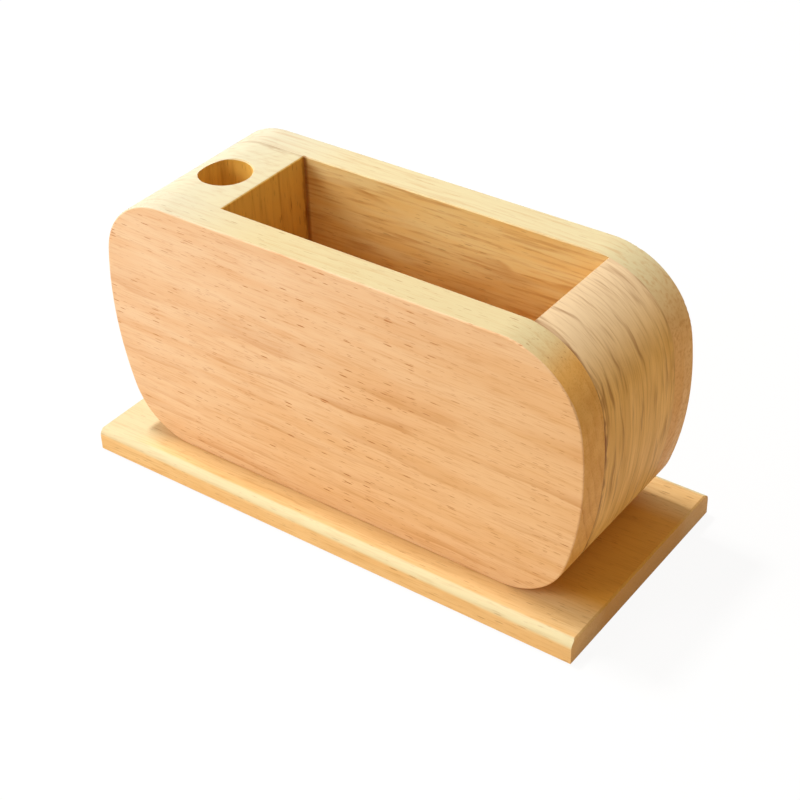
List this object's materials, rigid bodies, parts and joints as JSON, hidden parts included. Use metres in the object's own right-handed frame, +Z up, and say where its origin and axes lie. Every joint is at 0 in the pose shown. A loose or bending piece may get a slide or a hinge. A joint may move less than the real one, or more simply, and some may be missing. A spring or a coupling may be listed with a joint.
{
  "type": "desk organizer",
  "caption": "Free-standing wooden desk organizer: a body with rounded ends, an open-topped compartment and a round pen hole, fixed on a flat rectangular base.",
  "frame": {"origin": "middle of the underside of the base plate, where the organizer stands", "axes": "+X along the boards with the pen hole at the -X end, -Y to the front, +Z up"},
  "size_m": [0.18, 0.081, 0.0945],
  "materials": {
    "beech_base": "oiled satin",
    "beech_board": "oiled satin",
    "beech_block": "oiled satin",
    "dowel": "plain",
    "screw_steel": "zinc plated"
  },
  "bodies": {
    "root": {"base_plate": "beech_base", "floor_board": "beech_board", "left_end_block": "beech_block", "right_end_block": "beech_block", "front_board": "beech_board", "back_board": "beech_board", "front_left_dowels": "dowel", "front_right_dowels": "dowel", "back_left_dowels": "dowel", "back_right_dowels": "dowel", "base_screws": "screw_steel"}
  },
  "joints": []
}
